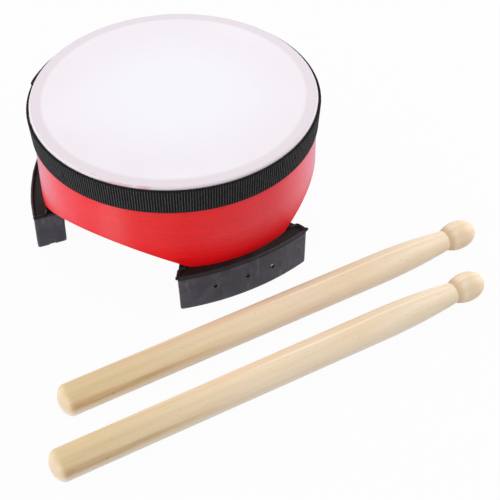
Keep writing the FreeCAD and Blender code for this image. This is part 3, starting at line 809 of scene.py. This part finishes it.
def add_screw_rims(points, faces, seed):
    """Adds the low ring that the screw pressed up round each hole."""
    for y, z, _ in SCREWS:
        slope = math.asin(y / FOOT_OUT)
        outward = Vector((math.cos(slope), math.sin(slope), 0))
        aside = Vector((-math.sin(slope), math.cos(slope), 0))
        centre = Vector((bulge(FOOT_ARC + FOOT_OUT, FOOT_OUT, y), y, z))
        faces += grid(30, len(SCREW_RIM), closed=True, first=len(points))
        for i in range(30):
            c, s = unit(12 * i)
            for r, lift in SCREW_RIM:
                r *= 1 + 0.05 * wobble(c, s, y + seed)
                p = centre + outward * lift + aside * (r * c) + Vector((0, 0, r * s))
                points.append(tuple(p))


def foot_mesh(name, seed):
    block = foot_block(name, seed)
    points, faces = [], []
    add_bead(points, faces, seed)
    add_knobs(points, faces)
    add_screw_rims(points, faces, seed)
    trim = make(name + "_trim", points, faces, sharp=None)
    whole = bmesh.new()
    whole.from_mesh(block.data)
    whole.from_mesh(trim.data)
    whole.to_mesh(block.data)
    whole.free()
    bpy.data.objects.remove(trim)
    smooth(block.data, 38)
    return block


# Beaters: one turned profile from the domed butt to the round bead

BEATER_LONG, BEATER_RADIUS = 320, 10.7
DOME_RADIUS, DOME_END, BUTT_ROUND, BUTT_LONG = 14.12, 141.3, 5, 7
TAPER_START, TAPER_LONG, TAPER_RADIUS = 238.5, 57, 453.05
BALL_MIDDLE, BALL_RADIUS, BALL_NECK_RADIUS = 306, 10, 20.46
TIP_POWER = 2.2
TIP_STEPS = (0.1, 0.2, 0.3, 0.4, 0.5, 0.6, 0.7, 0.78, 0.85, 0.9, 0.94, 0.965, 0.98, 0.99,
             0.997, 1)


def beater_profile():
    """The distance from the butt and the radius there."""
    neck = TAPER_START + TAPER_LONG
    line = arc((DOME_RADIUS, 0), DOME_RADIUS, 180, DOME_END, 7)
    line += arc((BUTT_LONG, BEATER_RADIUS - BUTT_ROUND), BUTT_ROUND, 139, 90, 8)
    for i in range(1, 47):
        line.append((BUTT_LONG + (TAPER_START - BUTT_LONG) * i / 46, BEATER_RADIUS))
    for i in range(1, 27):
        off = TAPER_LONG * i / 26
        line.append((TAPER_START + off, bulge(BEATER_RADIUS, TAPER_RADIUS, off)))
    for i in range(1, 15):
        on = (BALL_MIDDLE - neck) * i / 14
        line.append((neck + on, bulge(BALL_RADIUS, BALL_NECK_RADIUS, BALL_MIDDLE - neck - on)))
    for t in TIP_STEPS:
        radius = BALL_RADIUS * (1 - t ** TIP_POWER) ** (1 / TIP_POWER)
        line.append((BALL_MIDDLE + (BEATER_LONG - BALL_MIDDLE) * t, radius))
    line[0] = (line[0][0], 0.0)
    return line


# Pieces

points, faces = shell_mesh()
shell = make("red_shell", points, faces, (*AXIS, 0))
edge = shell.modifiers.new("sanded edges", "BEVEL")
edge.width, edge.segments = 0.45 * MM, 2
edge.limit_method, edge.angle_limit = "ANGLE", math.radians(50)
settle(shell, "drum", "shell", lacquer(), "shell")

points, faces = lathe(skin_profile(), 300)
drumhead = make("white_skin", points, faces, (*AXIS, 0))
settle(drumhead, "drum", "drumhead", skin(), "drumhead")

points, faces, spots = webbing_mesh()
band = make("ribbed_webbing", points, faces, (*AXIS, 0), sharp=60)
layer = band.data.uv_layers.new(name="UVMap")
places = {tuple(round(v, 3) for v in p): spot for p, spot in zip(points, spots)}
for loop in band.data.loops:
    co = band.data.vertices[loop.vertex_index].co / MM
    layer.data[loop.index].uv = places.get(tuple(round(v, 3) for v in co), (0.0, 0.0))
settle(band, "drum", "webbing", webbing(), "rim_webbing")

dark_rubber = rubber()
for count, (node, azimuth) in enumerate(FEET):
    foot = foot_mesh("rubber_" + node, 3.7 * count)
    foot.location = Vector((*AXIS, 0)) * MM
    foot.rotation_euler.z = math.radians(azimuth)
    settle(foot, "drum", "feet", dark_rubber, node)

wood = maple()
points, faces = lathe(beater_profile(), 72, axis="x")
BEATERS = (("beater_front", (17.1, -99.4), 29.4), ("beater_rear", (17.4, -47.6), 29.5))
for node, (x, y), azimuth in BEATERS:
    c, s = unit(azimuth)
    butt = (x - BEATER_LONG / 2 * c, y - BEATER_LONG / 2 * s, BEATER_RADIUS)
    beater = make("maple_" + node, points, faces, butt, azimuth, sharp=18)
    settle(beater, node, "beaters", wood, node)

wire, dark_steel = steel("staple_wire", 190), steel("screw_steel", 120)
for name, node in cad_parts.items():
    if name == "head_staples" or name.startswith("foot_screws"):
        node.data.materials.clear()
        node.data.materials.append(wire if name == "head_staples" else dark_steel)


# Floor, lights and camera

def area(name, place, size, power):
    """A soft lamp at a place in metres, aimed at the set."""
    lamp = bpy.data.lights.new(name, "AREA")
    lamp.shape, lamp.size, lamp.size_y = "RECTANGLE", *size
    lamp.energy = power
    obj = bpy.data.objects.new(name, lamp)
    bpy.context.scene.collection.objects.link(obj)
    obj.location = place
    obj.rotation_mode = "QUATERNION"
    aim = Vector((-0.05, 0.05, 0.05))
    obj.rotation_quaternion = (aim - Vector(place)).to_track_quat("-Z", "Y")


def white_for_the_eye(tree, plain, output, glow, share):
    """The surface is pure white to the camera, glossy and glass rays.

    The rest of the share stays its own shading and shadow."""
    rays = tree.nodes.new("ShaderNodeLightPath")
    seen = rays.outputs["Is Camera Ray"]
    for kind in ("Is Glossy Ray", "Is Transmission Ray"):
        either = tree.nodes.new("ShaderNodeMath")
        either.operation = "MAXIMUM"
        tree.links.new(seen, either.inputs[0])
        tree.links.new(rays.outputs[kind], either.inputs[1])
        seen = either.outputs[0]
    part = tree.nodes.new("ShaderNodeMath")
    part.operation = "MULTIPLY"
    part.inputs[1].default_value = share
    tree.links.new(seen, part.inputs[0])
    white = tree.nodes.new(glow)
    white.inputs["Color"].default_value = (1, 1, 1, 1)
    mix = tree.nodes.new("ShaderNodeMixShader")
    tree.links.new(part.outputs[0], mix.inputs[0])
    tree.links.new(plain.outputs[0], mix.inputs[1])
    tree.links.new(white.outputs[0], mix.inputs[2])
    tree.links.new(mix.outputs[0], tree.nodes[output].inputs["Surface"])


FLOOR_HALF, FLOOR_DROP = 9000, 0.2
corners = [(x * FLOOR_HALF, y * FLOOR_HALF, 0) for x, y in ((-1, -1), (1, -1), (1, 1), (-1, 1))]
floor = make("floor", corners, [(0, 1, 2, 3)], (0, 0, -FLOOR_DROP))
paper = bpy.data.materials.new("white_paper")
paper.use_nodes = True
sheet = paper.node_tree.nodes["Principled BSDF"]
sheet.inputs["Base Color"].default_value = (0.6, 0.6, 0.6, 1)
sheet.inputs["Roughness"].default_value = 1.0
sheet.inputs["Specular IOR Level"].default_value = 0.0
white_for_the_eye(paper.node_tree, sheet, "Material Output", "ShaderNodeEmission", 0.96)
floor.data.materials.append(paper)

# The room is darker towards the camera's side and brighter behind the drum.
world = bpy.data.worlds.new("studio")
bpy.context.scene.world = world
world.use_nodes = True
room = world.node_tree
sky = room.nodes["Background"]
sky.inputs["Color"].default_value = (0.98, 0.99, 1.0, 1)
heading = room.nodes.new("ShaderNodeTexCoord")
parts = room.nodes.new("ShaderNodeSeparateXYZ")
fill = room.nodes.new("ShaderNodeMapRange")
for socket, value in zip(fill.inputs[1:5], (-1.0, 0.4, 0.38, 1.08)):
    socket.default_value = value
room.links.new(heading.outputs["Generated"], parts.inputs[0])
room.links.new(parts.outputs["Y"], fill.inputs[0])
room.links.new(fill.outputs[0], sky.inputs["Strength"])
white_for_the_eye(room, sky, "World Output", "ShaderNodeBackground", 1.0)

area("left_softbox", (-1.94, -1.73, 0.39), (0.86, 0.72), 30)
area("right_softbox", (0.95, 0.45, 0.40), (0.9, 0.7), 6.2)
area("back_left_softbox", (-1.0, 0.42, 0.40), (0.7, 0.7), 2.8)

# The camera's focal length, centre and picture width are pixels, its distance is in
# rim radii and its angles are radians, as they were fitted to the photograph.
FOCAL, PICTURE, SENSOR = 1400.0, 500, 36.0
DISTANCE, ELEVATION, ROLL, CENTRE = 9.4785, 0.75208, -0.01417, (173.875, 97.039)
RIM_RADIUS, RIM_MIDDLE = 101.6, (-51.8, 74.1, 97.9)
ahead = Vector((0, math.cos(ELEVATION), -math.sin(ELEVATION)))
over = Vector((0, math.sin(ELEVATION), math.cos(ELEVATION)))
side = Vector((1, 0, 0))
right = side * math.cos(ROLL) + over * math.sin(ROLL)
up = over * math.cos(ROLL) - side * math.sin(ROLL)
shift_x, shift_y = ((v - PICTURE / 2) / FOCAL for v in CENTRE)
stand = -(ahead + right * shift_x - up * shift_y) * DISTANCE * RIM_RADIUS + Vector(RIM_MIDDLE)
camera = bpy.data.objects.new("camera", bpy.data.cameras.new("camera"))
bpy.context.scene.collection.objects.link(camera)
camera.data.sensor_width = SENSOR
camera.data.lens = FOCAL / PICTURE * SENSOR
turned = Matrix((right, up, -ahead)).transposed().to_4x4()
camera.matrix_world = Matrix.Translation(stand * MM) @ turned
bpy.context.scene.camera = camera
bpy.context.scene.view_settings.view_transform = "Standard"
